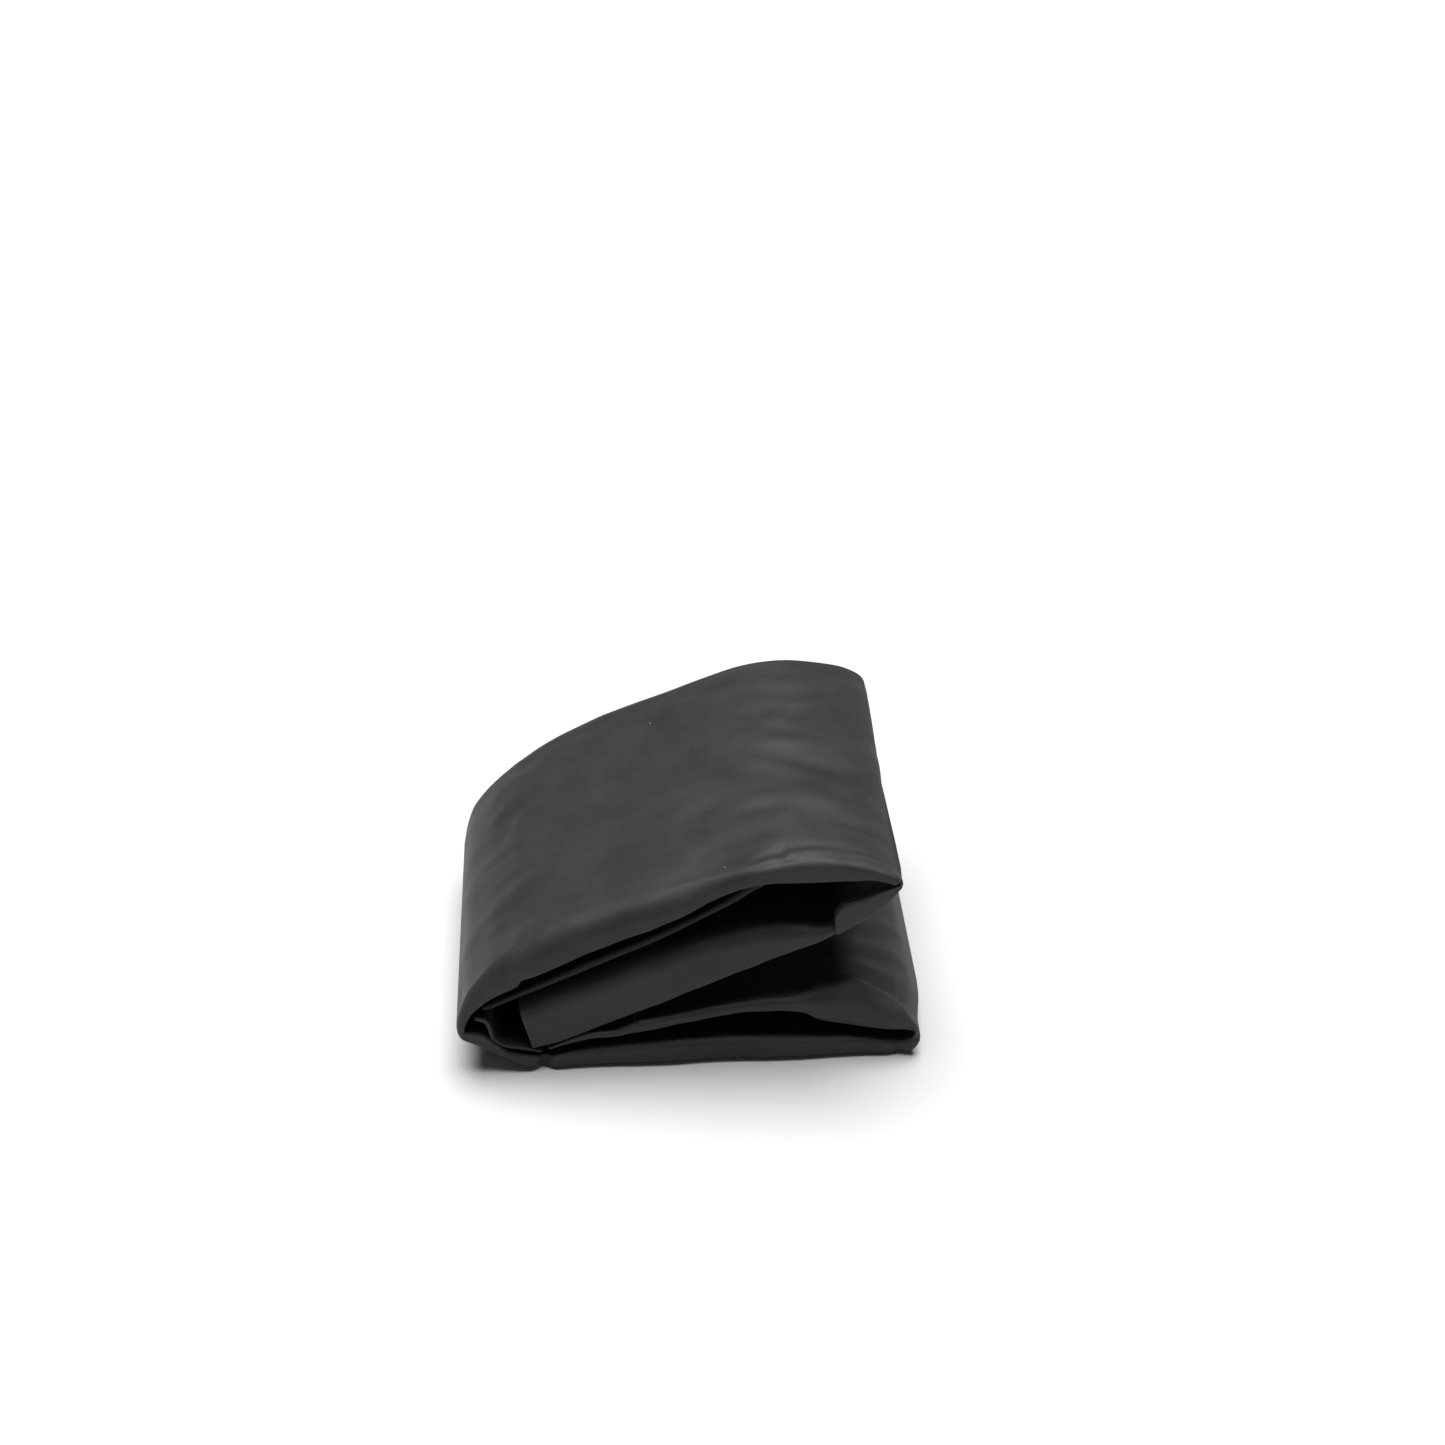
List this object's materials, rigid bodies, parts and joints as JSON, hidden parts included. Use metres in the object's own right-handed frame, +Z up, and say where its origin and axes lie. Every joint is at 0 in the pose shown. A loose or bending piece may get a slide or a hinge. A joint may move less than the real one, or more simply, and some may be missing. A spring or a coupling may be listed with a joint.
{
  "type": "film changing bag",
  "caption": "Light-tight fabric bag for handling film by hand in daylight, folded for storage into a compact wedge that opens at its spine.",
  "frame": {"origin": "centre of the folded pack's footprint, on its flat base", "axes": "+X from the spine towards the open side, +Y from the front mouth to the back, +Z up"},
  "size_m": [0.198, 0.16, 0.1051],
  "materials": {
    "coated_nylon": "satin",
    "lining_nylon": "satin",
    "binding": "matt",
    "elastic": "matt",
    "zip_tape": "matt",
    "zip_coil": "matt",
    "zip_metal": "satin"
  },
  "bodies": {
    "bottom_leaf": {"bottom_leaf_inner_back_panel": "lining_nylon", "bottom_leaf_inner_front_panel": "lining_nylon", "bottom_leaf_outer_back_panel": "coated_nylon", "bottom_leaf_outer_front_panel": "coated_nylon", "bottom_leaf_seam_binding": "binding", "lower_fold_wrap": "coated_nylon", "spine_inner_ply": "lining_nylon", "spine_outer_ply": "coated_nylon"},
    "top_leaf": {"spine_top_ply": "coated_nylon", "top_leaf_inner_back_panel": "lining_nylon", "top_leaf_inner_front_panel": "lining_nylon", "top_leaf_outer_back_panel": "coated_nylon", "top_leaf_outer_front_panel": "coated_nylon", "top_leaf_seam_binding": "binding", "upper_fold_wrap": "coated_nylon"},
    "upper_gate": {"left_inner_cuff": "elastic", "left_outer_cuff": "elastic", "left_sleeve": "coated_nylon", "left_sleeve_lining": "lining_nylon", "right_inner_cuff": "elastic", "right_outer_cuff": "elastic", "right_sleeve": "coated_nylon", "right_sleeve_lining": "lining_nylon", "upper_gate_inner_back_panel": "lining_nylon", "upper_gate_inner_front_panel": "lining_nylon", "upper_gate_outer_back_panel": "coated_nylon", "upper_gate_outer_front_panel": "coated_nylon"},
    "lower_gate": {"inner_zip_coil": "zip_coil", "inner_zip_stop_back": "zip_metal", "inner_zip_stop_front": "zip_metal", "inner_zip_tape_left": "zip_tape", "inner_zip_tape_right": "zip_tape", "lower_gate_inner_back_panel": "lining_nylon", "lower_gate_inner_front_panel": "lining_nylon", "lower_gate_outer_back_panel": "coated_nylon", "lower_gate_outer_front_panel": "coated_nylon", "outer_zip_coil": "zip_coil", "outer_zip_stop_back": "zip_metal", "outer_zip_stop_front": "zip_metal", "outer_zip_tape_left": "zip_tape", "outer_zip_tape_right": "zip_tape"},
    "outer_zip_slider": {"outer_zip_slider": "zip_metal"},
    "outer_zip_pull": {"outer_zip_pull": "zip_metal"},
    "inner_zip_slider": {"inner_zip_slider": "zip_metal", "inner_zip_pull": "zip_metal"}
  },
  "joints": [
    {"name": "book_fold", "type": "hinge", "parent": "bottom_leaf", "child": "top_leaf", "pos_m": [-0.096, 0, 0.02], "axis": [0, -1, 0], "range_deg": [0, 155]},
    {"name": "upper_gate_fold", "type": "hinge", "parent": "top_leaf", "child": "upper_gate", "pos_m": [0.08674, 0, 0.09088], "axis": [0, -1, 0], "range_deg": [0, 19]},
    {"name": "lower_gate_fold", "type": "hinge", "parent": "bottom_leaf", "child": "lower_gate", "pos_m": [0.0925, 0, 0.0083], "axis": [0, 1, 0], "range_deg": [0, 12.5]},
    {"name": "outer_zip_slide", "type": "slide", "parent": "lower_gate", "child": "outer_zip_slider", "axis": [0, 1, 0], "range_m": [-0.113, 0.012]},
    {"name": "outer_pull_swing", "type": "hinge", "parent": "outer_zip_slider", "child": "outer_zip_pull", "pos_m": [-0.037, 0.0555, 0.0202], "axis": [-1, 0, 0], "range_deg": [0, 8]},
    {"name": "inner_zip_slide", "type": "slide", "parent": "lower_gate", "child": "inner_zip_slider", "axis": [0, 1, 0], "range_m": [-0.095, 0.012]}
  ],
  "couplings": [
    {"joint": "upper_gate_fold", "follows": "book_fold", "ratio": 0.12},
    {"joint": "lower_gate_fold", "follows": "book_fold", "ratio": 0.08}
  ]
}
